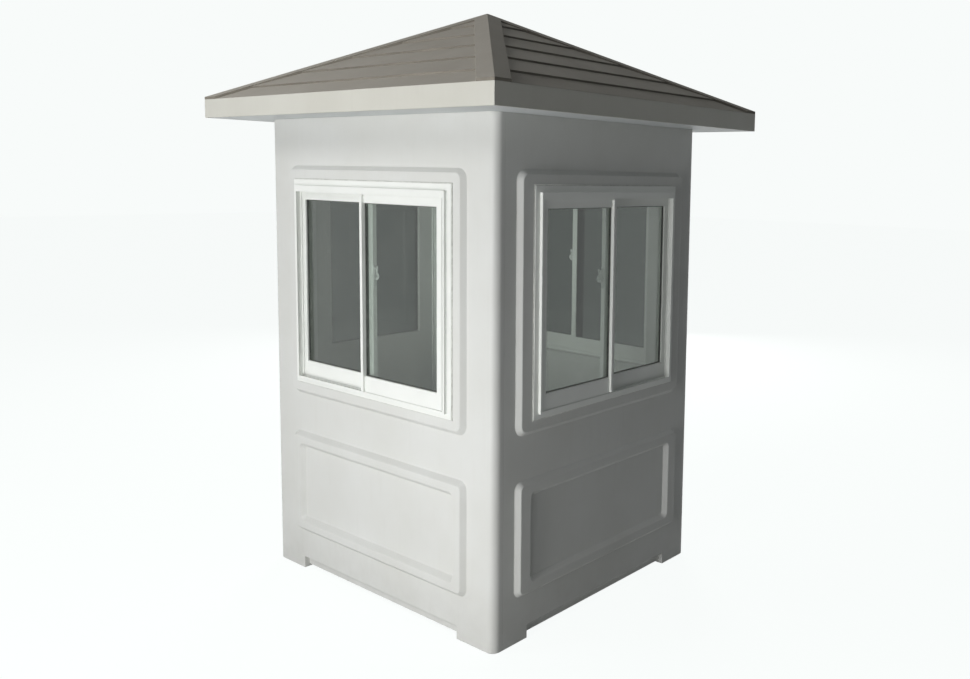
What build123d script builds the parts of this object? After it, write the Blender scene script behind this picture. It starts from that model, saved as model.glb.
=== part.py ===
from build123d import *
import os
from math import atan2, degrees

# Security guard booth, sizes in millimetres, origin at the middle of the base, front wall towards -Y

# Overall sizes
width = 1300.0
depth = 1160.0
height = 2297.0
wall_thickness = 46.0
corner_radius = 30.0

# Moulded feet and the recessed band between them
front_foot_length = 185.0
side_foot_length = 165.0
kick_depth = 22.0
kick_height = 48.0
kick_clearance = 10.0

# Raised surround of each window and raised ring below it
relief = 18.0
relief_slope = 16.0
crown_radius = 5.0
front_relief_margin = 135.0
side_relief_margin = 98.0
surround_head_drop = 184.0
surround_bottom = 744.0
surround_radius = 40.0
ring_top = 584.0
ring_bottom = 164.0
ring_rail = 62.0
front_ring_side = 68.0
side_ring_side = 80.0
ring_radius = 32.0
ring_inner_radius = 8.0

# Window frames
front_window_margin = 189.0
side_window_margin = 167.0
window_head_drop = 238.0
window_bottom = 798.0
flange_lap = 12.0
flange_thickness = 5.0
lip_rise = 12.0
jamb_lip_start = 22.0
head_lip_start = 23.0
sill_lip_start = 18.0
frame_fit = 1.0
lip_thickness = 3.0
channel_width = 20.0
jamb_face = 30.0
head_face = 48.0
sill_face = 27.0
channel_depth = 5.0

# Sliding sashes
sash_thickness = 17.0
sash_side_play = 1.0
sash_lift_play = 3.0
stile_width = 26.0
meeting_overlap = 40.0
front_sash_ajar = 12.0
top_rail = 33.0
bottom_rail = 65.0
pull_width = 8.0
pull_rise = 9.0
pull_clearance = 3.0
glass_thickness = 5.0
glass_bite = 8.0
glass_setback = 8.0

# Crescent latch on each inner sash
latch_centre_height = 1262.0
latch_plate_height = 76.0
latch_plate_width = 13.0
latch_plate_thickness = 3.0
latch_boss_radius = 7.0
latch_boss_length = 7.0
latch_cam_radius = 15.0
latch_cam_offset = 4.0
latch_cam_thickness = 4.0
latch_lever_length = 34.0
latch_lever_width = 9.0

# Door in the left wall
door_start = 140.0
door_width = 700.0
door_bottom = 62.0
door_head_drop = 78.0
door_frame_face = 20.0
door_frame_lap = 16.0
door_frame_skin = 4.0
door_gap = 4.0
leaf_thickness = 36.0
door_stop_width = 12.0
door_stop_depth = 6.0
leaf_window_margin = 84.0
leaf_window_head_drop = 243.0
leaf_window_bottom = 893.0
leaf_relief = 8.0
leaf_ring_margin = 62.0
leaf_ring_band = 50.0
hinge_radius = 7.0
hinge_length = 90.0
hinge_leaf_width = 26.0
hinge_leaf_thickness = 2.5
hinge_end_distance = 225.0
handle_height = 985.0
handle_plate_height = 190.0
handle_plate_width = 34.0
handle_plate_thickness = 5.0
handle_edge_distance = 42.0
lever_neck_radius = 8.0
lever_reach = 42.0
lever_length = 124.0
lever_height = 20.0
lever_thickness = 9.0

# Floor
floor_top = 60.0
floor_thickness = 18.0
bearer_height = 30.0
bearer_width = 44.0
bay_count = 3

# Roof
overhang = 182.0
roof_rise = 376.0
fascia_height = 73.0
roof_skin = 8.0
band_height = 10.0
front_band_width = 80.0
side_band_width = 70.0
first_course_rise = 46.0
course_rise = 64.0
course_count = 5
lap_step = 7.0
apex_half = 4.0
attic_apex_drop = 24.0
ceiling_thickness = 10.0
ceiling_ledge = 14.0

# How far a cutting shape runs past what it cuts
cut_over = 1.0

# Sizes that follow from the ones above
slope_angle = degrees(atan2(relief_slope, relief))
inner_half_x = width / 2 - wall_thickness
inner_half_y = depth / 2 - wall_thickness
roof_half_x = width / 2 + overhang
roof_half_y = depth / 2 + overhang
fascia_top = height - roof_rise
wall_height = fascia_top - fascia_height
surround_top = wall_height - surround_head_drop
window_top = wall_height - window_head_drop
door_top = wall_height - door_head_drop
leaf_window_top = door_top - leaf_window_head_drop
hinge_low = door_bottom + hinge_end_distance
hinge_high = door_top - hinge_end_distance
hinge_heights = {"low": hinge_low, "mid": (hinge_low + hinge_high) / 2, "high": hinge_high}
parts = {}


def on_front(piece):
    return Pos(0, -depth / 2, 0) * piece


def on_right(piece):
    return Pos(width / 2, 0, 0) * Rot(0, 0, 90) * piece


def on_back(piece):
    return Pos(0, depth / 2, 0) * Rot(0, 0, 180) * piece


def on_left(piece):
    return Pos(-width / 2, 0, 0) * Rot(0, 0, -90) * piece


def box_between(low, high):
    size = [b - a for a, b in zip(low, high)]
    return Pos(*low) * Box(*size, align=(Align.MIN, Align.MIN, Align.MIN))


def wall_plane(height, outward=0.0):
    """A sketch plane on a wall's outer face, looking outward, centred at a height."""
    return Plane(origin=(0, -outward, height), x_dir=(1, 0, 0), z_dir=(0, -1, 0))


def raised_pad(length, bottom, top, radius, rise=relief):
    """A sloped pad on the outer face, between two heights."""
    outline = RectangleRounded(length, top - bottom, radius)
    face = wall_plane((top + bottom) / 2) * outline
    return extrude(face, amount=rise, taper=slope_angle)


def soft_crown(piece):
    """Rounds the edges round the face that stands furthest out."""
    crown = piece.faces().sort_by(Axis.Y)[0]
    return fillet(crown.edges(), crown_radius)


def raised_ring(length, side, rail, bottom, top, rise=relief):
    """A raised ring whose middle stays at the level of the wall."""
    pad = raised_pad(length, bottom, top, ring_radius, rise)
    hollow = RectangleRounded(length - 2 * side, top - bottom - 2 * rail, ring_inner_radius)
    face = wall_plane((top + bottom) / 2) * hollow
    return soft_crown(pad - extrude(face, amount=rise, taper=-slope_angle))


def kick_cutter(length):
    """The recess between two feet, with a coved top."""
    cove_start = kick_height - kick_depth
    square = box_between(
        (-length / 2, -cut_over, -cut_over), (length / 2, kick_depth, cove_start)
    )
    cove = Pos(0, 0, cove_start) * Rot(0, 90, 0) * Cylinder(kick_depth, length)
    under = box_between(
        (-length / 2, -cut_over, -cut_over),
        (length / 2, wall_thickness + cut_over, kick_clearance),
    )
    return square + cove + under


def wall_slab(length, kick_length, rounded):
    """A plain wall standing on its feet, outer face at y = 0."""
    plan = Pos(0, wall_thickness / 2) * Rectangle(length, wall_thickness)
    if rounded:
        plan = fillet(plan.vertices().sort_by(Axis.Y)[:2], corner_radius)
    return extrude(plan, amount=wall_height) - kick_cutter(kick_length)


def window_wall(length, rounded, wall_length, foot, margin, ring_side, window_margin):
    """A wall with its window surround, lower ring and window hole."""
    slab = wall_slab(length, wall_length - 2 * foot, rounded)
    relief_length = wall_length - 2 * margin
    surround = soft_crown(
        raised_pad(relief_length, surround_bottom, surround_top, surround_radius)
    )
    ring = raised_ring(relief_length, ring_side, ring_rail, ring_bottom, ring_top)
    hole_half = wall_length / 2 - window_margin - flange_lap
    hole = box_between(
        (-hole_half, -relief - cut_over, window_bottom + flange_lap),
        (hole_half, wall_thickness + cut_over, window_top - flange_lap),
    )
    return slab + surround + ring - hole


def framed(half, bottom, top, side, sill, head, front, back):
    """A rectangular ring between two planes, with its own face width on each side."""
    outer = box_between((-half, front, bottom), (half, back, top))
    inner = box_between(
        (-half + side, front - cut_over, bottom + sill),
        (half - side, back + cut_over, top - head),
    )
    return outer - inner


def raised_lip(half, face):
    """The part of the frame round the sashes, standing out from the flange."""
    outer = box_between(
        (-half + jamb_lip_start, face - lip_rise, window_bottom + sill_lip_start),
        (half - jamb_lip_start, face, window_top - head_lip_start),
    )
    inner = box_between(
        (-half + jamb_face, face - lip_rise - cut_over, window_bottom + sill_face),
        (half - jamb_face, face + cut_over, window_top - head_face),
    )
    return outer - inner


def pull_rib(side, front):
    """The finger pull along the glass side of a meeting stile, whose free edge is at x = 0."""
    glass_edge = side * stile_width
    low_x, high_x = sorted((glass_edge, glass_edge - side * pull_width))
    return box_between(
        (low_x, front - pull_rise, window_bottom + sill_face + pull_clearance),
        (high_x, front, window_top - head_face - pull_clearance),
    )


def window(wall_length, margin, outer_side, ajar):
    """One sliding window in wall coordinates. outer_side is +1 or -1."""
    half = wall_length / 2 - margin
    face = -relief - flange_thickness
    flange_sight = flange_lap + frame_fit
    flange = framed(
        half, window_bottom, window_top, flange_sight, flange_sight, flange_sight, face, -relief
    )
    body_half = half - flange_sight
    body_bottom = window_bottom + flange_sight
    body_top = window_top - flange_sight
    outside = face - lip_rise
    frame_depth = 3 * lip_thickness + 2 * channel_width
    body = framed(
        body_half,
        body_bottom,
        body_top,
        jamb_face - flange_sight,
        sill_face - flange_sight,
        head_face - flange_sight,
        face,
        outside + frame_depth,
    )
    frame = flange + body + raised_lip(half, face)
    channel_half = half - jamb_face + channel_depth
    channel_bottom = window_bottom + sill_face - channel_depth
    channel_top = window_top - head_face + channel_depth
    tracks = {}
    for index, name in enumerate(("outer", "inner")):
        front = outside + lip_thickness + index * (channel_width + lip_thickness)
        channel = box_between(
            (-channel_half, front, channel_bottom),
            (channel_half, front + channel_width, channel_top),
        )
        frame -= channel
        tracks[name] = front + (channel_width - sash_thickness) / 2
    pieces = {"frame": frame}
    sash_top = channel_top - sash_lift_play
    reach = channel_half - sash_side_play
    for name, side in (("outer", outer_side), ("inner", -outer_side)):
        sash_low = -meeting_overlap / 2
        sash_centre = side * (sash_low + reach) / 2
        sash_half = (reach - sash_low) / 2
        front = tracks[name]
        sash = framed(
            sash_half,
            channel_bottom,
            sash_top,
            stile_width,
            bottom_rail,
            top_rail,
            front,
            front + sash_thickness,
        )
        pane_half = sash_half - stile_width + glass_bite
        pane = box_between(
            (-pane_half, front + glass_setback, channel_bottom + bottom_rail - glass_bite),
            (pane_half, front + glass_setback + glass_thickness, sash_top - top_rail + glass_bite),
        )
        if name == "outer":
            sash += Pos(-side * sash_half, 0, 0) * pull_rib(side, front)
            sash_centre -= side * ajar
        pieces[name + "_sash"] = Pos(sash_centre, 0, 0) * (sash - pane)
        pieces[name + "_glass"] = Pos(sash_centre, 0, 0) * pane
    pieces["latch"] = latch(outer_side, tracks["inner"])
    return pieces


def latch(outer_side, front):
    """A crescent latch on the free edge of the inner sash's meeting stile."""
    edge = outer_side * meeting_overlap / 2
    middle = front + sash_thickness / 2
    plate = box_between(
        (0, -latch_plate_width / 2, -latch_plate_height / 2),
        (latch_plate_thickness, latch_plate_width / 2, latch_plate_height / 2),
    )
    boss = Rot(0, 90, 0) * Cylinder(
        latch_boss_radius, latch_boss_length, align=(Align.CENTER, Align.CENTER, Align.MIN)
    )
    cam_start = latch_boss_length
    disc = Circle(latch_cam_radius) - Pos(latch_boss_radius, 0) * Circle(latch_boss_radius)
    trim = Rectangle(latch_cam_radius, 2 * latch_cam_radius)
    disc -= Pos(latch_cam_radius / 2 + latch_cam_offset, 0) * trim
    lever = Rectangle(latch_lever_width, latch_lever_length)
    lever = Pos(-latch_cam_offset, latch_lever_length / 2) * lever
    cam = extrude(Plane.YZ * (disc + Circle(latch_boss_radius) + lever), amount=latch_cam_thickness)
    body = plate + boss + Pos(cam_start, 0, 0) * cam
    if outer_side < 0:
        body = Rot(0, 0, 180) * body
    return Pos(edge, middle, latch_centre_height) * body


def add_window(label, place, wall_length, margin, outer_side, ajar=0.0):
    for name, piece in window(wall_length, margin, outer_side, ajar).items():
        parts[label + "_window_" + name] = place(piece)


def add_walls():
    front = window_wall(
        width, True, width, front_foot_length, front_relief_margin, front_ring_side, front_window_margin
    )
    side_length = depth - 2 * wall_thickness
    side = window_wall(
        side_length,
        False,
        depth,
        side_foot_length,
        side_relief_margin,
        side_ring_side,
        side_window_margin,
    )
    parts["front_wall"] = on_front(front)
    parts["back_wall"] = on_back(front)
    parts["right_wall"] = on_right(side)
    left = wall_slab(side_length, depth - 2 * side_foot_length, False)
    door_high = depth / 2 - door_start
    door_low = door_high - door_width
    reach = side_length / 2
    top = wall_height + cut_over
    under = -cut_over
    regions = {
        "left_wall_front": (door_high, reach, under, top),
        "left_wall_back": (-reach, door_low, under, top),
        "left_wall_top": (door_low, door_high, door_top, top),
        "left_wall_sill": (door_low, door_high, under, door_bottom),
    }
    for name, (x_low, x_high, z_low, z_high) in regions.items():
        region = box_between(
            (x_low, -cut_over, z_low), (x_high, wall_thickness + cut_over, z_high)
        )
        parts[name] = on_left(left & region)


def add_door():
    door_high = depth / 2 - door_start
    centre = door_high - door_width / 2
    half = door_width / 2
    skin = -door_frame_skin
    back = wall_thickness + door_frame_skin
    face = door_frame_face
    lining = framed(half, door_bottom, door_top, face, face, face, skin, back)
    lap = door_frame_lap
    outside = framed(half + lap, door_bottom - lap, door_top + lap, lap, lap, lap, skin, 0)
    inside = framed(
        half + lap, door_bottom, door_top + lap, lap, 0, lap, wall_thickness, back
    )
    stop = door_stop_width + face
    stop_front = door_gap / 2 + leaf_thickness
    stop_back = stop_front + door_stop_depth
    stops = framed(half, door_bottom, door_top, stop, stop, stop, stop_front, stop_back)
    frame = lining + outside + inside + stops
    leaf_half = half - face - door_gap
    leaf_bottom = door_bottom + face + door_gap
    leaf_top = door_top - face - door_gap
    leaf_front = door_gap / 2
    leaf = box_between(
        (-leaf_half, leaf_front, leaf_bottom), (leaf_half, leaf_front + leaf_thickness, leaf_top)
    )
    light_half = leaf_half - leaf_window_margin
    light = box_between(
        (-light_half, -cut_over, leaf_window_bottom),
        (light_half, wall_thickness, leaf_window_top),
    )
    pane_front = leaf_front + leaf_thickness / 2 - glass_thickness / 2
    pane = box_between(
        (-light_half - glass_bite, pane_front, leaf_window_bottom - glass_bite),
        (light_half + glass_bite, pane_front + glass_thickness, leaf_window_top + glass_bite),
    )
    ring_length = 2 * (leaf_half - leaf_ring_margin)
    ring = raised_ring(
        ring_length, leaf_ring_band, leaf_ring_band, ring_bottom, ring_top, leaf_relief
    )
    leaf = leaf + Pos(0, leaf_front, 0) * ring - light - pane
    shift = Pos(centre, 0, 0)
    parts["door_frame"] = on_left(shift * frame)
    parts["door_leaf"] = on_left(shift * leaf)
    parts["door_glass"] = on_left(shift * pane)
    edge = Pos(centre + leaf_half - handle_edge_distance, leaf_front, handle_height)
    parts["door_handle"] = on_left(edge * door_handle())
    hinge_x = centre - leaf_half - door_gap / 2
    for name, height in hinge_heights.items():
        parts["door_hinge_" + name] = on_left(Pos(hinge_x, 0, height) * door_hinge(leaf_front))


def door_handle():
    """A lever handle on a plate, standing out from the leaf."""
    plate = box_between(
        (-handle_plate_width / 2, -handle_plate_thickness, -handle_plate_height / 2),
        (handle_plate_width / 2, 0, handle_plate_height / 2),
    )
    neck = extrude(wall_plane(0) * Circle(lever_neck_radius), amount=lever_reach)
    grip_middle = (lever_height - lever_length) / 2
    grip = Pos(grip_middle, 0) * SlotOverall(lever_length, lever_height)
    lever = extrude(wall_plane(0, lever_reach) * grip, amount=lever_thickness)
    return plate + neck + lever


def door_hinge(leaf_front):
    """A butt hinge whose leaves lie on the frame and on the door."""
    skin = door_frame_skin
    knuckle = Pos(0, -skin - hinge_radius, 0) * Cylinder(hinge_radius, hinge_length)
    frame_leaf = box_between(
        (-hinge_leaf_width, -skin - hinge_leaf_thickness, -hinge_length / 2),
        (-door_gap / 2, -skin, hinge_length / 2),
    )
    door_leaf = box_between(
        (door_gap / 2, leaf_front - hinge_leaf_thickness, -hinge_length / 2),
        (hinge_leaf_width, leaf_front, hinge_length / 2),
    )
    web = box_between(
        (-door_gap / 2, -skin - hinge_leaf_thickness, -hinge_length / 2),
        (door_gap / 2 + hinge_leaf_thickness, leaf_front, hinge_length / 2),
    )
    return knuckle + frame_leaf + door_leaf + web


def add_floor():
    floor_low = floor_top - floor_thickness
    parts["floor_panel"] = box_between(
        (-inner_half_x, -inner_half_y, floor_low), (inner_half_x, inner_half_y, floor_top)
    )
    bearer_low = floor_low - bearer_height
    rim = box_between(
        (-inner_half_x, -inner_half_y, bearer_low), (inner_half_x, inner_half_y, floor_low)
    )
    bay = (2 * inner_half_x - (bay_count + 1) * bearer_width) / bay_count
    for index in range(bay_count):
        start = -inner_half_x + bearer_width + index * (bay + bearer_width)
        rim -= box_between(
            (start, -inner_half_y + bearer_width, bearer_low - cut_over),
            (start + bay, inner_half_y - bearer_width, floor_low + cut_over),
        )
    parts["floor_frame"] = rim


def level(height, half_x, half_y):
    return Pos(0, 0, height) * Rectangle(2 * half_x, 2 * half_y)


def frustum(low, low_x, low_y, high, high_x, high_y):
    """Two sloped prisms crossed, so that every face is flat and the hips run true."""
    across = Polygon((-low_x, low), (low_x, low), (high_x, high), (-high_x, high), align=None)
    along = Polygon((-low_y, low), (low_y, low), (high_y, high), (-high_y, high), align=None)
    front_and_back = extrude(Plane.YZ * along, amount=low_x, both=True)
    return extrude(Plane.XZ * across, amount=low_y, both=True) & front_and_back


def pyramid(base, apex, half_x, half_y):
    """A low pyramid with a small flat top."""
    share = apex_half / half_x
    return frustum(base, half_x, half_y, apex, apex_half, half_y * share)


def roof_courses():
    """Lapped courses, each with its lower edge standing over the one below."""
    rise = roof_rise - band_height
    nominal_apex = height - band_height
    starts = [0.0] + [first_course_rise + index * course_rise for index in range(course_count)]
    ends = starts[1:] + [rise]
    courses = None
    for start, end in zip(starts, ends):
        low_share = 1 - start / rise
        high_share = max(1 - end / rise, apex_half / roof_half_x)
        low_x, low_y = roof_half_x * low_share, roof_half_y * low_share
        foot = fascia_top + start
        step = lap_step if start > 0 else 0
        head = min(fascia_top + end, nominal_apex)
        course = frustum(
            foot + step, low_x, low_y, head, roof_half_x * high_share, roof_half_y * high_share
        )
        if step:
            course += extrude(level(foot, low_x, low_y), amount=step)
        courses = course if courses is None else courses + course
    return courses


def hip_bands():
    """Smooth raised bands along the four hips, meeting at the top."""
    riser = extrude(level(fascia_top, roof_half_x, roof_half_y), amount=band_height)
    raised = riser + pyramid(fascia_top + band_height, height, roof_half_x, roof_half_y)
    strip = Polygon(
        (roof_half_x, roof_half_y),
        (roof_half_x - front_band_width, roof_half_y),
        (-roof_half_x, -roof_half_y + side_band_width),
        (-roof_half_x, -roof_half_y),
        (-roof_half_x + front_band_width, -roof_half_y),
        (roof_half_x, roof_half_y - side_band_width),
        align=None,
    )
    cross = strip + mirror(strip, Plane.YZ)
    return raised & extrude(Pos(0, 0, fascia_top) * cross, amount=roof_rise + band_height)


def add_roof():
    ceiling_top = wall_height + ceiling_thickness
    inside_x = roof_half_x - roof_skin
    inside_y = roof_half_y - roof_skin
    hollow_x = inside_x - ceiling_ledge
    hollow_y = inside_y - ceiling_ledge
    band = extrude(level(wall_height, roof_half_x, roof_half_y), amount=fascia_height)
    recess = extrude(
        level(wall_height - cut_over, inside_x, inside_y), amount=ceiling_thickness + cut_over
    )
    core = extrude(level(ceiling_top - cut_over, hollow_x, hollow_y), amount=fascia_height)
    parts["fascia"] = band - recess - core
    parts["ceiling_panel"] = extrude(level(wall_height, inside_x, inside_y), amount=ceiling_thickness)
    attic_top = height - band_height - attic_apex_drop
    attic = pyramid(fascia_top, attic_top, hollow_x, hollow_y)
    parts["roof_shell"] = roof_courses() + hip_bands() - attic


add_walls()
add_window("front", on_front, width, front_window_margin, 1, front_sash_ajar)
add_window("right", on_right, depth, side_window_margin, -1)
add_window("back", on_back, width, front_window_margin, 1)
add_door()
add_floor()
add_roof()

os.makedirs("parts", exist_ok=True)
for name, piece in parts.items():
    export_step(piece, "parts/" + name + ".step")
    print(name, len(piece.solids()), round(piece.volume / 1000), "cm3")
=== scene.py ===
import math

import bmesh
import bpy
from mathutils import Matrix, Vector


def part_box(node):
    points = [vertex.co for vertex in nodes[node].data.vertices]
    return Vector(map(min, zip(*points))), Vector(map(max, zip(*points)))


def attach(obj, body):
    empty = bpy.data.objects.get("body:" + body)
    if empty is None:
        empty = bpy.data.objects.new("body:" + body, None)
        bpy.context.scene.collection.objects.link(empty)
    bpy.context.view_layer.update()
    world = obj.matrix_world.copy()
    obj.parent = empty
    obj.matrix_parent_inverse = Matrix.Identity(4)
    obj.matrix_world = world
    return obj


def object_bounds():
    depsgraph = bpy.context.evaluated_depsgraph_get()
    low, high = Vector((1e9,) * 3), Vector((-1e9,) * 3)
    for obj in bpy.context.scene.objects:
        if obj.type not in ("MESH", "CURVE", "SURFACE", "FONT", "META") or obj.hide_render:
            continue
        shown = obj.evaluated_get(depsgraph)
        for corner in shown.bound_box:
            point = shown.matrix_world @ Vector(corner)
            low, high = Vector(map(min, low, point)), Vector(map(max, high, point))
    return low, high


MM = 0.001

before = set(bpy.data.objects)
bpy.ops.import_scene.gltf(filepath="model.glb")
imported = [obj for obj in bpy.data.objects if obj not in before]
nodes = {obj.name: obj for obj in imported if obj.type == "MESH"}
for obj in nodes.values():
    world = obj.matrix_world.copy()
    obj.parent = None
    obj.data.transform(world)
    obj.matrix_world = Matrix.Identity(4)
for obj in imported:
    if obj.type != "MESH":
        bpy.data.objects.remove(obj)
cad_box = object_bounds()
cad_size = cad_box[1] - cad_box[0]


# Colours and node trees

def linear(hex_colour):
    """An sRGB hex colour as the linear values that a shader takes."""
    channels = [int(hex_colour[i:i + 2], 16) / 255 for i in (1, 3, 5)]
    return tuple(c / 12.92 if c <= 0.04045 else ((c + 0.055) / 1.055) ** 2.4 for c in channels) + (1.0,)


def add(tree, kind, settings=None, **inputs):
    """Adds a node. Settings are its own options, inputs are values or the sockets that feed it."""
    node = tree.nodes.new(kind)
    for name, value in (settings or {}).items():
        setattr(node, name, value)
    for name, value in inputs.items():
        socket = node.inputs[int(name[1:])] if name[1:].isdigit() else node.inputs[name.replace("_", " ")]
        if isinstance(value, bpy.types.NodeSocket):
            tree.links.new(value, socket)
        else:
            socket.default_value = value
    return node


def start(name):
    """A new material with a Principled shader on its output, and the Object coordinates."""
    material = bpy.data.materials.new(name)
    material.use_nodes = True
    tree = material.node_tree
    shader = tree.nodes["Principled BSDF"]
    place = add(tree, "ShaderNodeTexCoord").outputs["Object"]
    return material, tree, shader, place


def patches(tree, place, size_mm, limits, values, detail=4.0):
    """A value that wanders over the surface in patches about this many millimetres across."""
    field = add(tree, "ShaderNodeTexNoise", Vector=place, Scale=1000 / size_mm, Detail=detail, Roughness=0.6)
    (low, high), (first, last) = limits, values
    spread = add(tree, "ShaderNodeMapRange", i0=field.outputs[0], i1=low, i2=high, i3=first, i4=last)
    return spread.outputs[0]


def layered(tree, base, layers):
    """Lays stains, dust or chips over a colour, each by its own share."""
    for share, colour in layers:
        mix = add(tree, "ShaderNodeMix", {"data_type": "RGBA"}, i0=share, i6=base, i7=linear(colour))
        base = mix.outputs[2]
    return base


def relief(tree, place, edge_mm, layers):
    """The surface's normal: worn edges, then layers of bumps, each with its size, depth and strength."""
    normal = add(tree, "ShaderNodeBevel", {"samples": 4}, Radius=edge_mm * MM).outputs[0]
    for size_mm, depth_mm, strength in layers:
        field = add(tree, "ShaderNodeTexNoise", Vector=place, Scale=1000 / size_mm, Detail=2.0)
        normal = add(
            tree, "ShaderNodeBump", Strength=strength, Distance=depth_mm * MM, Height=field.outputs["Fac"],
            Normal=normal,
        ).outputs[0]
    return normal


def gelcoat(name, colour, stain, edge_mm, dirt, roughness, shine, lap_riser_shade=0.0):
    """Polyester gelcoat on hand-laid fibreglass, taken from a waxed mould: a satin skin that
    shows long soft waves of the laminate, a fine orange peel, faint runs of rain, painted shade
    on the upright faces of the laps, standing for the shadow line under each lap, and road
    dust that is thickest near the ground."""
    material, tree, shader, place = start(name)
    runs = add(tree, "ShaderNodeMapping", Vector=place, Scale=(9.0, 9.0, 1.1)).outputs[0]
    rise = add(tree, "ShaderNodeSeparateXYZ", Vector=place).outputs["Z"]
    near_ground = add(tree, "ShaderNodeMapRange", i0=rise, i1=0.0, i2=0.24, i3=dirt, i4=0.0).outputs[0]
    splash = patches(tree, place, 60, (0.25, 0.75), (0.2, 1.0), 8.0)
    splash = add(tree, "ShaderNodeMath", {"operation": "MULTIPLY"}, i0=near_ground, i1=splash).outputs[0]
    facing = add(tree, "ShaderNodeTexCoord").outputs["Normal"]
    upward = add(tree, "ShaderNodeSeparateXYZ", Vector=facing).outputs["Z"]
    # Painted shade: faces that stand upright, the risers of the roof's laps, are darkened by the last
    # argument to stand for the shadow line under each lap.
    riser_shade = add(tree, "ShaderNodeMapRange", i0=upward, i1=0.2, i2=0.6, i3=lap_riser_shade, i4=0.0).outputs[0]
    base = layered(tree, linear(colour), (
        (riser_shade, "#6F6A60"),
        (patches(tree, place, 420, (0.35, 0.68), (0.0, 0.45), 3.0), stain),
        (patches(tree, runs, 250, (0.52, 0.8), (0.0, 0.22), 6.0), stain),
        (splash, "#8A877C"),
        (patches(tree, place, 3, (0.70, 0.80), (0.0, 0.25), 2.0), "#9C9A90"),
    ))
    tree.links.new(base, shader.inputs["Base Color"])
    smear = patches(tree, place, 140, (0.3, 0.7), (roughness - 0.07, roughness + 0.09), 6.0)
    tree.links.new(smear, shader.inputs["Roughness"])
    shader.inputs["Specular IOR Level"].default_value = shine
    tree.links.new(relief(tree, place, edge_mm, ((170, 1.2, 0.5), (4, 0.08, 0.3))), shader.inputs["Normal"])
    return material


def powder_coat(name, colour, dust):
    """Powder-coated aluminium extrusion, oven cured: near-white, an even satin gloss with a fine
    pebbled skin, under a thin film of dust in wide soft patches."""
    material, tree, shader, place = start(name)
    film = patches(tree, place, 160, (0.4, 0.75), (0.0, 0.2), 2.0)
    tree.links.new(layered(tree, linear(colour), ((film, dust),)), shader.inputs["Base Color"])
    tree.links.new(patches(tree, place, 160, (0.3, 0.7), (0.3, 0.38), 2.0), shader.inputs["Roughness"])
    tree.links.new(relief(tree, place, 0.9, ((2.2, 0.05, 0.25),)), shader.inputs["Normal"])
    return material


def tinted_glass(name, colour, lamp_colour):
    """Float glass, 5 mm: flat, with a faint film and dried rain that catch the light. What is behind it
    shows through its colour, and lamps shine through in lamp_colour. A grey colour is painted shade,
    standing for dark surroundings seen through the pane."""
    material, tree, shader, place = start(name)
    shader.inputs["Base Color"].default_value = linear(colour)
    shader.inputs["Transmission Weight"].default_value = 1.0
    shader.inputs["IOR"].default_value = 1.5
    shader.inputs["Specular IOR Level"].default_value = 0.08
    shader.inputs["Roughness"].default_value = 0.0
    ripple = add(tree, "ShaderNodeTexNoise", Vector=place, Scale=1000 / 260, Detail=1.0).outputs["Fac"]
    wave = add(tree, "ShaderNodeBump", Strength=0.2, Distance=0.1 * MM, Height=ripple).outputs[0]
    tree.links.new(wave, shader.inputs["Normal"])
    film = patches(tree, place, 110, (0.35, 0.75), (0.0, 0.03), 6.0)
    dust = add(tree, "ShaderNodeBsdfDiffuse", Color=linear("#B9B8B0")).outputs[0]
    filmed = add(tree, "ShaderNodeMixShader", i0=film, i1=shader.outputs[0], i2=dust).outputs[0]
    clear = add(tree, "ShaderNodeBsdfTransparent", Color=linear(lamp_colour)).outputs[0]
    is_shadow = add(tree, "ShaderNodeLightPath").outputs["Is Shadow Ray"]
    mix = add(tree, "ShaderNodeMixShader", i0=is_shadow, i1=filmed, i2=clear).outputs[0]
    tree.links.new(mix, tree.nodes["Material Output"].inputs["Surface"])
    return material


def brushed_metal(name, colour, low_rough, high_rough, grain, metallic=1.0):
    """Stainless steel or silvered zinc, brushed along one way: bright, with hairlines and smears."""
    material, tree, shader, place = start(name)
    shader.inputs["Metallic"].default_value = metallic
    smear = patches(tree, place, 18, (0.4, 0.75), (0.0, 0.3), 5.0)
    tree.links.new(layered(tree, linear(colour), ((smear, "#8F9090"),)), shader.inputs["Base Color"])
    lines = add(tree, "ShaderNodeMapping", Vector=place, Scale=grain).outputs[0]
    hairlines = patches(tree, lines, 1.2, (0.3, 0.7), (low_rough, high_rough))
    tree.links.new(hairlines, shader.inputs["Roughness"])
    tree.links.new(relief(tree, lines, 0.6, ((1.2, 0.03, 0.2),)), shader.inputs["Normal"])
    return material


def galvanised_steel(name):
    """Steel bearers, hot-dip galvanised, hidden under the floor: dull grey with rust blooms."""
    material, tree, shader, place = start(name)
    bloom = patches(tree, place, 35, (0.5, 0.7), (0.0, 1.0), 8.0)
    tree.links.new(layered(tree, linear("#6E6F6C"), ((bloom, "#6B4A34"),)), shader.inputs["Base Color"])
    tree.links.new(patches(tree, place, 35, (0.4, 0.7), (0.45, 0.85), 8.0), shader.inputs["Roughness"])
    tree.links.new(relief(tree, place, 1.0, ((35, 0.3, 0.4),)), shader.inputs["Normal"])
    return material


def vinyl(name):
    """Calendered PVC floor sheet: a grey-blue ground with pressed chips a few millimetres across."""
    material, tree, shader, place = start(name)
    chips = add(tree, "ShaderNodeTexVoronoi", {"feature": "F1"}, Vector=place, Scale=1000 / 7.0)
    tone = add(tree, "ShaderNodeSeparateXYZ", Vector=chips.outputs["Color"]).outputs["X"]
    chip = add(tree, "ShaderNodeMapRange", i0=tone, i1=0.2, i2=0.9, i3=0.0, i4=0.6).outputs[0]
    scuff = patches(tree, place, 80, (0.5, 0.8), (0.0, 0.4), 8.0)
    base = layered(tree, linear("#8C969B"), ((chip, "#B8BEC0"), (scuff, "#6F6C64")))
    tree.links.new(base, shader.inputs["Base Color"])
    tree.links.new(patches(tree, place, 80, (0.3, 0.7), (0.35, 0.6), 8.0), shader.inputs["Roughness"])
    tree.links.new(relief(tree, place, 1.0, ((80, 0.1, 0.2),)), shader.inputs["Normal"])
    return material


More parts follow.
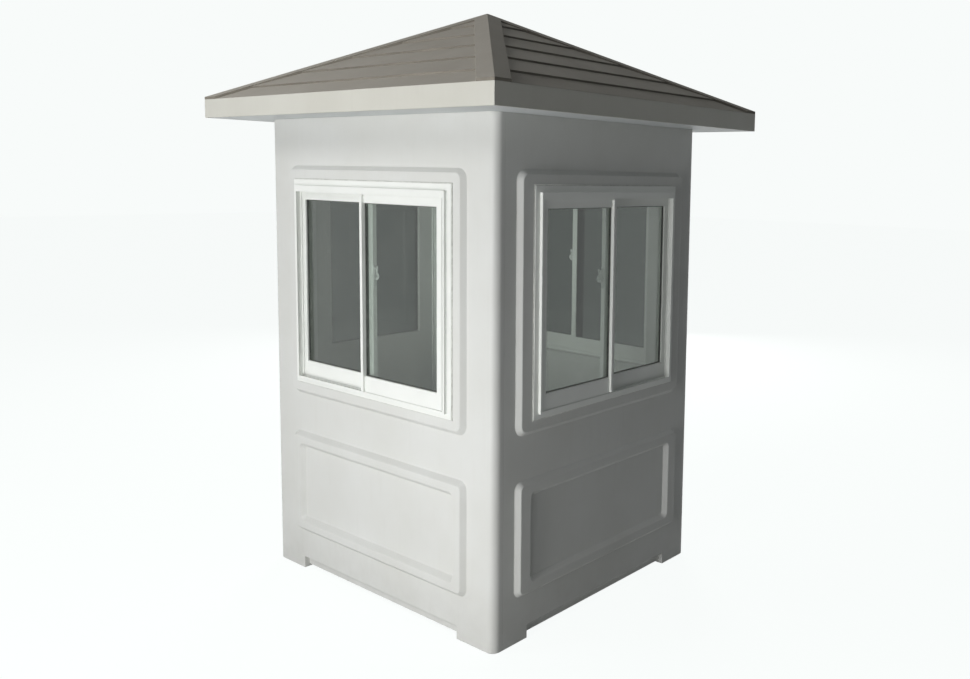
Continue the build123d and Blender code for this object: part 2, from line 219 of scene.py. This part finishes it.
def rubber(name, colour):
    """Extruded EPDM or silicone strip: matt, with a fine dusty bloom."""
    material, tree, shader, place = start(name)
    bloom = patches(tree, place, 25, (0.4, 0.7), (0.0, 0.4))
    tree.links.new(layered(tree, linear(colour), ((bloom, "#8D8E8A"),)), shader.inputs["Base Color"])
    tree.links.new(patches(tree, place, 25, (0.3, 0.7), (0.5, 0.7)), shader.inputs["Roughness"])
    return material


wall_finish = gelcoat("gelcoat_white_moulded", "#DBDCD9", "#CFCFC9", 3.0, 0.2, 0.4, 0.3)
fascia_finish = gelcoat("gelcoat_fascia_moulded", "#D7D6CD", "#CAC8BE", 3.0, 0.0, 0.42, 0.25)
# The roof's last figure, 0.85, is the share of painted shade on its lap risers.
roof_finish = gelcoat("gelcoat_roof_weathered", "#D0CABF", "#BCB5A9", 2.0, 0.0, 0.8, 0.1, 0.85)
inside_finish = gelcoat("gelcoat_ceiling_sprayed", "#D5D8D8", "#C9CDCE", 3.0, 0.0, 0.5, 0.3)
frame_finish = powder_coat("aluminium_powder_coated", "#F0F2EE", "#DADCD6")
glass_finish = tinted_glass("float_glass_pale_tint", "#B0B6B2", "#F2F5F3")
# Painted shade: the back and door panes are the same glass as the front ones, given a grey tint and a grey
# lamp_colour to stand for the dark surroundings seen through them.
shaded_glass_finish = tinted_glass("float_glass_grey_tint", "#4E5350", "#7F8582")
latch_finish = brushed_metal("zinc_latch_silvered", "#F0F1EF", 0.2, 0.34, (1.0, 1.0, 0.1), 0.3)
hardware_finish = brushed_metal("stainless_steel_brushed", "#C9CAC8", 0.25, 0.42, (1.0, 1.0, 0.05))
bearer_finish = galvanised_steel("steel_bearers_galvanised")
floor_finish = vinyl("pvc_floor_sheet")
gasket_finish = rubber("epdm_gasket_grey", "#5A5C58")
sealant_finish = rubber("silicone_sealant_white", "#DCDDD8")


def finish_for(name):
    """The finish of each carried-over node, by what it is."""
    if name.endswith("_glass"):
        # The back and door panes take the glass whose grey tint is painted shade.
        return glass_finish if name.startswith(("front", "right")) else shaded_glass_finish
    if name.endswith("_latch"):
        return latch_finish
    if "_window_" in name or name == "door_frame":
        return frame_finish
    if name.startswith("door_h"):
        return hardware_finish
    return {
        "fascia": fascia_finish,
        "roof_shell": roof_finish,
        "ceiling_panel": inside_finish,
        "floor_frame": bearer_finish,
        "floor_panel": floor_finish,
    }.get(name, wall_finish)


for name, node in nodes.items():
    node.data.materials.clear()
    node.data.materials.append(finish_for(name))


# New pieces

GLASS_BITE = 8 * MM  # how far a pane goes into its sash or the door leaf
GASKET = 3 * MM
GASKET_SOFT = 1.2 * MM
SEAL_SHOWS = 3.5 * MM  # the bead past the window's flange
SEAL_UNDER = 0.5 * MM
SEAL_RISE = 3 * MM
SEAL_SOFT = 1.8 * MM

CAM_RADIUS = 15
CAM_HOLLOW = 8
CAM_HOLLOW_BACK = 3  # the hollow's centre, behind the cam's own
CAM_HALF_SWEEP = 95
CAM_STEPS = 19
LEVER_ROOT = (4, 9)
LEVER_TIP = (6, 34)
LEVER_TIP_RADIUS = 4
LEVER_TIP_STEPS = 12
CAM_THICK = 4.5 * MM
CAM_SOFT = 0.7 * MM
CAM_PAST_LATCH = 6 * MM
PIVOT_PAST_CAM = 4 * MM
PIVOT_RADIUS = 4.5 * MM

SCREW_RADIUS = 3.4 * MM
LEAF_SET_BACK = 2 * MM  # the door leaf's face, behind the wall's
HINGE_LEAF = 2.5 * MM
HINGE_SCREW_RISES = (0.14, 0.5, 0.86)
HANDLE_PLATE = 5 * MM
HANDLE_EDGE = 42 * MM
HANDLE_SCREW_INSET = 12 * MM


def finished(name, shape, finish, smooth=True):
    """Makes an object of a bmesh and lets it ride on the building."""
    bmesh.ops.remove_doubles(shape, verts=shape.verts, dist=0.01 * MM)
    bmesh.ops.recalc_face_normals(shape, faces=shape.faces)
    mesh = bpy.data.meshes.new(name)
    shape.to_mesh(mesh)
    shape.free()
    for face in mesh.polygons:
        face.use_smooth = smooth
    mesh.materials.append(finish)
    piece = bpy.data.objects.new(name, mesh)
    bpy.context.scene.collection.objects.link(piece)
    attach(piece, "root")
    return piece


def turned_to_wall(centre):
    """The matrix that sets a piece made at the origin, facing -Y, on the wall nearest to a point."""
    if abs(centre.x) * cad_size.y > abs(centre.y) * cad_size.x:
        turn = math.radians(90 if centre.x > 0 else -90)
    else:
        turn = math.radians(180 if centre.y > 0 else 0)
    return Matrix.Translation(centre) @ Matrix.Rotation(turn, 4, "Z")


def across(low, high):
    """A box's width along its wall, and its height."""
    size = high - low
    return max(size.x, size.y), size.z


def ring(name, matrix, size, band, thick, finish, soften):
    """A strip round a rectangle, as wide as band, standing out by thick from the face at y = 0."""
    shape = bmesh.new()
    bmesh.ops.create_grid(shape, x_segments=1, y_segments=1, size=0.5)
    bmesh.ops.scale(shape, vec=(size[0], size[1], 1.0), verts=shape.verts)
    middle = shape.faces[:]
    bmesh.ops.inset_region(shape, faces=middle, thickness=band, use_boundary=True, use_even_offset=True)
    bmesh.ops.delete(shape, geom=middle, context="FACES")
    out = bmesh.ops.extrude_face_region(shape, geom=shape.faces[:])
    raised = [v for v in out["geom"] if isinstance(v, bmesh.types.BMVert)]
    bmesh.ops.translate(shape, vec=(0.0, 0.0, thick), verts=raised)
    top = [e for e in shape.edges if all(v.co.z > thick * 0.5 for v in e.verts) and e.is_manifold
           and e.calc_face_angle(0.0) > 0.5]
    bmesh.ops.bevel(
        shape, geom=top, offset=soften, segments=3, profile=0.5, affect="EDGES", material=-1
    )
    upright = Matrix.Rotation(math.radians(90), 4, "X")
    bmesh.ops.transform(shape, matrix=matrix @ upright, verts=shape.verts)
    return finished(name, shape, finish)


def glazing(node):
    """The grey wedge strips that hold a pane, outside and inside."""
    low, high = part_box(node)
    width, height = across(low, high)
    sight = (width - 2 * GLASS_BITE, height - 2 * GLASS_BITE)
    thick = min((high - low).x, (high - low).y)
    centre = (low + high) / 2
    for side, sign in (("outside", -1), ("inside", 1)):
        matrix = turned_to_wall(centre) @ Matrix.Translation((0.0, sign * thick / 2, 0.0))
        if sign > 0:
            matrix = matrix @ Matrix.Rotation(math.radians(180), 4, "Z")
        ring(
            node.replace("_glass", "_gasket_") + side, matrix, sight, GASKET, GASKET,
            gasket_finish, GASKET_SOFT,
        )


def flange_seal(node, wall):
    """The bead of silicone round a window frame, on the moulded surround."""
    low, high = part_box(node)
    width, height = across(low, high)
    centre = (low + high) / 2
    wall_low, wall_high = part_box(wall)
    if wall == "right_wall":
        centre.x = wall_high.x
    elif wall == "front_wall":
        centre.y = wall_low.y
    else:
        centre.y = wall_high.y
    size = (width + 2 * SEAL_SHOWS, height + 2 * SEAL_SHOWS)
    ring(
        node.replace("_frame", "_sealant"), turned_to_wall(centre), size, SEAL_SHOWS + SEAL_UNDER,
        SEAL_RISE, sealant_finish, SEAL_SOFT,
    )


def arc(shape, first, centre, degrees, steps):
    """Spins a vertex in the XZ plane, given in millimetres, and returns the arc's two ends."""
    vertex = shape.verts.new((first[0] * MM, 0.0, first[1] * MM))
    out = bmesh.ops.spin(
        shape, geom=[vertex], cent=(centre[0] * MM, 0.0, centre[1] * MM), axis=(0.0, -1.0, 0.0),
        dvec=(0.0, 0.0, 0.0), angle=math.radians(degrees), steps=steps, use_merge=False,
    )
    return vertex, out["geom_last"][0]


def thickened(shape, edges):
    """Fills a closed outline and gives it the cam's thickness."""
    face = bmesh.ops.edgeloop_fill(shape, edges=edges)["faces"]
    raised = bmesh.ops.extrude_face_region(shape, geom=face)["geom"]
    moved = [v for v in raised if isinstance(v, bmesh.types.BMVert)]
    bmesh.ops.translate(shape, vec=(0.0, CAM_THICK, 0.0), verts=moved)


def crescent(window):
    """The turning cam and thumb lever of a window latch, standing out past the stile."""
    low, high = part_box(window + "_latch")
    matrix = turned_to_wall((low + high) / 2)
    sash_low, sash_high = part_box(window + "_inner_sash")
    beyond = (matrix.inverted() @ ((sash_low + sash_high) / 2)).x
    side = -1 if beyond > 0 else 1
    shape = bmesh.new()

    sweep = math.radians(CAM_HALF_SWEEP)
    across_end, up_end = math.cos(sweep), math.sin(sweep)
    outer_first = (side * CAM_RADIUS * across_end, -CAM_RADIUS * up_end)
    outer = arc(shape, outer_first, (0, 0), side * 2 * CAM_HALF_SWEEP, CAM_STEPS)
    hollow = (-side * CAM_HOLLOW_BACK, 0)
    inner_first = (side * CAM_HOLLOW * across_end + hollow[0], CAM_HOLLOW * up_end)
    inner = arc(shape, inner_first, hollow, -side * 2 * CAM_HALF_SWEEP, CAM_STEPS)
    shape.edges.new((outer[1], inner[0]))
    shape.edges.new((inner[1], outer[0]))
    thickened(shape, shape.edges[:])

    cam_edges = set(shape.edges)
    tip = (side * LEVER_TIP[0], LEVER_TIP[1])
    tip_first = (tip[0] + side * LEVER_TIP_RADIUS, tip[1])
    near, far = arc(shape, tip_first, tip, side * 180, LEVER_TIP_STEPS)
    half, height = LEVER_ROOT
    root = [shape.verts.new((side * x * MM, 0.0, height * MM)) for x in (half, -half)]
    for ends in ((root[0], near), (far, root[1]), (root[1], root[0])):
        shape.edges.new(ends)
    thickened(shape, [e for e in shape.edges if e not in cam_edges])

    bmesh.ops.recalc_face_normals(shape, faces=shape.faces)
    sharp = [e for e in shape.edges if e.calc_face_angle(0.0) > 1.0]
    bmesh.ops.bevel(
        shape, geom=sharp, offset=CAM_SOFT, segments=2, profile=0.5, affect="EDGES", material=-1
    )
    place = matrix @ Matrix.Translation((side * CAM_PAST_LATCH, 0.0, 0.0))
    bmesh.ops.transform(shape, matrix=place, verts=shape.verts)
    finished(window + "_latch_crescent", shape, latch_finish, smooth=False)
    pivot = place @ Matrix.Translation((side * PIVOT_PAST_CAM, 0.0, 0.0))
    screw(window + "_latch_pivot", pivot, PIVOT_RADIUS)


def screw(name, matrix, radius):
    """A domed screw with a socket, its seat on the face at y = 0."""
    shape = bmesh.new()
    bmesh.ops.create_cone(
        shape, cap_ends=True, segments=24, radius1=radius, radius2=radius * 0.72, depth=radius * 0.45
    )
    top = max(shape.faces, key=lambda f: f.calc_center_median().z)
    bmesh.ops.bevel(
        shape, geom=top.edges[:], offset=radius * 0.12, segments=2, profile=0.5, affect="EDGES", material=-1
    )
    top = max(shape.faces, key=lambda f: (round(f.calc_center_median().z, 6), f.calc_area()))
    bmesh.ops.inset_region(shape, faces=[top], thickness=radius * 0.24)
    bmesh.ops.translate(shape, vec=(0.0, 0.0, -radius * 0.3), verts=top.verts)
    seat = Matrix.Rotation(math.radians(90), 4, "X") @ Matrix.Translation((0.0, 0.0, radius * 0.22))
    bmesh.ops.transform(shape, matrix=matrix @ seat, verts=shape.verts)
    return finished(name, shape, hardware_finish, smooth=False)


for name in sorted(nodes):
    if name.endswith("_glass"):
        glazing(name)
for side in ("front", "right", "back"):
    flange_seal(side + "_window_frame", side + "_wall")
    crescent(side + "_window")


def door_screws():
    """Screws through the hinge leaves and the handle plate, on the door and its frame."""
    outward = Matrix.Rotation(math.radians(-90), 4, "Z")
    leaf_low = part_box("door_leaf")[0]
    leaf_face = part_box("left_wall_front")[0].x + LEAF_SET_BACK
    frame_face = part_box("door_frame")[0].x
    spots = {}
    for level in ("low", "mid", "high"):
        low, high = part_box("door_hinge_" + level)
        for index, rise in enumerate(HINGE_SCREW_RISES):
            for side, share, face in (("leaf", 0.16, leaf_face), ("frame", 0.84, frame_face)):
                along, up = (high.y - low.y) * share, (high.z - low.z) * rise
                place = (face - HINGE_LEAF, low.y + along, low.z + up)
                spots["door_hinge_%s_screw_%s_%d" % (level, side, index)] = place
    low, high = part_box("door_handle")
    for label, height in (("low", low.z + HANDLE_SCREW_INSET), ("high", high.z - HANDLE_SCREW_INSET)):
        spots["door_handle_screw_" + label] = (leaf_face - HANDLE_PLATE, leaf_low.y + HANDLE_EDGE, height)
    for name, place in spots.items():
        screw(name, Matrix.Translation(place) @ outward, SCREW_RADIUS)


door_screws()


# Stage, lamps and camera

def area_lamp(name, place, target, width, height, power, gloss=True):
    """A soft box that the camera and the glass don't see; gloss says if shiny faces show it."""
    data = bpy.data.lights.new(name, "AREA")
    data.shape = "RECTANGLE"
    data.size = width
    data.size_y = height
    data.energy = power
    lamp = bpy.data.objects.new(name, data)
    lamp.location = place
    lamp.rotation_euler = (Vector(target) - Vector(place)).to_track_quat("-Z", "Y").to_euler()
    lamp.visible_camera = False
    lamp.visible_transmission = False
    lamp.visible_glossy = gloss
    bpy.context.scene.collection.objects.link(lamp)
    return lamp


def is_seen(tree):
    """One for what is seen, straight on, in glass or in gloss, and nought for what lights the part."""
    path = add(tree, "ShaderNodeLightPath")
    seen = path.outputs["Is Camera Ray"]
    for ray in ("Is Glossy Ray", "Is Transmission Ray"):
        either = add(tree, "ShaderNodeMath", {"operation": "MAXIMUM"}, i0=seen, i1=path.outputs[ray])
        seen = either.outputs[0]
    return seen


def stage():
    """A pale floor that shows white to the camera, in glass and in gloss, and keeps the shadow."""
    shape = bmesh.new()
    bmesh.ops.create_grid(shape, x_segments=1, y_segments=1, size=30.0)
    mesh = bpy.data.meshes.new("studio_floor")
    shape.to_mesh(mesh)
    shape.free()
    floor = bpy.data.objects.new("studio_floor", mesh)
    bpy.context.scene.collection.objects.link(floor)
    material, tree, shader, place = start("studio_floor_paper")
    shader.inputs["Base Color"].default_value = linear("#9A9B99")
    shader.inputs["Roughness"].default_value = 0.9
    shader.inputs["Specular IOR Level"].default_value = 0.0
    glow = add(tree, "ShaderNodeEmission", Color=linear("#F8FBFA"), Strength=0.98).outputs[0]
    paper = add(tree, "ShaderNodeBsdfDiffuse", Color=linear("#585A58")).outputs[0]
    bright = add(tree, "ShaderNodeAddShader", i0=glow, i1=paper).outputs[0]
    mix = add(tree, "ShaderNodeMixShader", i0=is_seen(tree), i1=shader.outputs[0], i2=bright).outputs[0]
    tree.links.new(mix, tree.nodes["Material Output"].inputs["Surface"])
    mesh.materials.append(material)

    world = bpy.data.worlds.new("studio_world")
    bpy.context.scene.world = world
    world.use_nodes = True
    tree = world.node_tree
    tree.nodes.clear()
    shown = add(tree, "ShaderNodeBackground", Color=linear("#F8FBFA"), Strength=1.0).outputs[0]
    fill = add(tree, "ShaderNodeBackground", Color=linear("#DDE3E8"), Strength=0.1).outputs[0]
    mix = add(tree, "ShaderNodeMixShader", i0=is_seen(tree), i1=fill, i2=shown).outputs[0]
    add(tree, "ShaderNodeOutputWorld", i0=mix)


# The key lights the front, as in the photograph, and leaves the right wall in shade. The lamp
# indoors lights the backs of the window frames, which are seen through the panes.
stage()
area_lamp("key", (0.92, -4.4, 1.05), (0.1, 0.0, 1.0), 1.0, 1.9, 78)
area_lamp("above", (-1.9, -3.3, 3.8), (0.0, -0.3, 2.0), 1.6, 1.2, 46, gloss=False)
area_lamp("back_left", (-3.6, 4.4, 1.6), (0.0, 0.0, 1.0), 2.4, 2.2, 230, gloss=False)
area_lamp("right_fill", (4.6, -2.2, 0.5), (0.6, 0.0, 0.9), 1.6, 0.9, 1.2, gloss=False)
area_lamp("low_front", (0.9, -2.7, 0.3), (0.4, 0.0, 0.4), 2.2, 0.4, 15, gloss=False)
area_lamp("ground", (0.0, -1.8, 0.03), (0.0, -1.3, 1.5), 3.0, 1.6, 9, gloss=False)
area_lamp("indoors", (-0.35, -0.38, 1.2), (0.3, 0.35, 1.2), 0.3, 0.6, 2.4, gloss=False)

CAMERA_PLACE = (2.8298, -2.6945, 1.6468)
CAMERA_TURN = 37.526
CAMERA_DROP = 6.023
CAMERA_ROLL = 1.17
FOCAL_PIXELS = 920.25
AXIS_PIXEL = (629.21, 273.58)
FRAME_PIXELS = (970, 679)


def make_camera():
    """The photograph's camera, from the corners of the walls and the roof."""
    turn, drop, roll = (math.radians(a) for a in (CAMERA_TURN, CAMERA_DROP, CAMERA_ROLL))
    ahead = Vector((-math.sin(turn) * math.cos(drop), math.cos(turn) * math.cos(drop), -math.sin(drop)))
    level = ahead.cross(Vector((0, 0, 1))).normalized()
    upright = level.cross(ahead)
    right = math.cos(roll) * level + math.sin(roll) * upright
    above = -math.sin(roll) * level + math.cos(roll) * upright
    data = bpy.data.cameras.new("camera")
    data.sensor_width = 36.0
    data.lens = FOCAL_PIXELS / FRAME_PIXELS[0] * data.sensor_width
    data.shift_x = (FRAME_PIXELS[0] / 2 - AXIS_PIXEL[0]) / FRAME_PIXELS[0]
    data.shift_y = (AXIS_PIXEL[1] - FRAME_PIXELS[1] / 2) / FRAME_PIXELS[0]
    camera = bpy.data.objects.new("camera", data)
    turned = Matrix((right, above, -ahead)).transposed()
    camera.matrix_world = Matrix.Translation(CAMERA_PLACE) @ turned.to_4x4()
    bpy.context.scene.collection.objects.link(camera)
    bpy.context.scene.camera = camera


make_camera()
bpy.context.scene.view_settings.view_transform = "Standard"
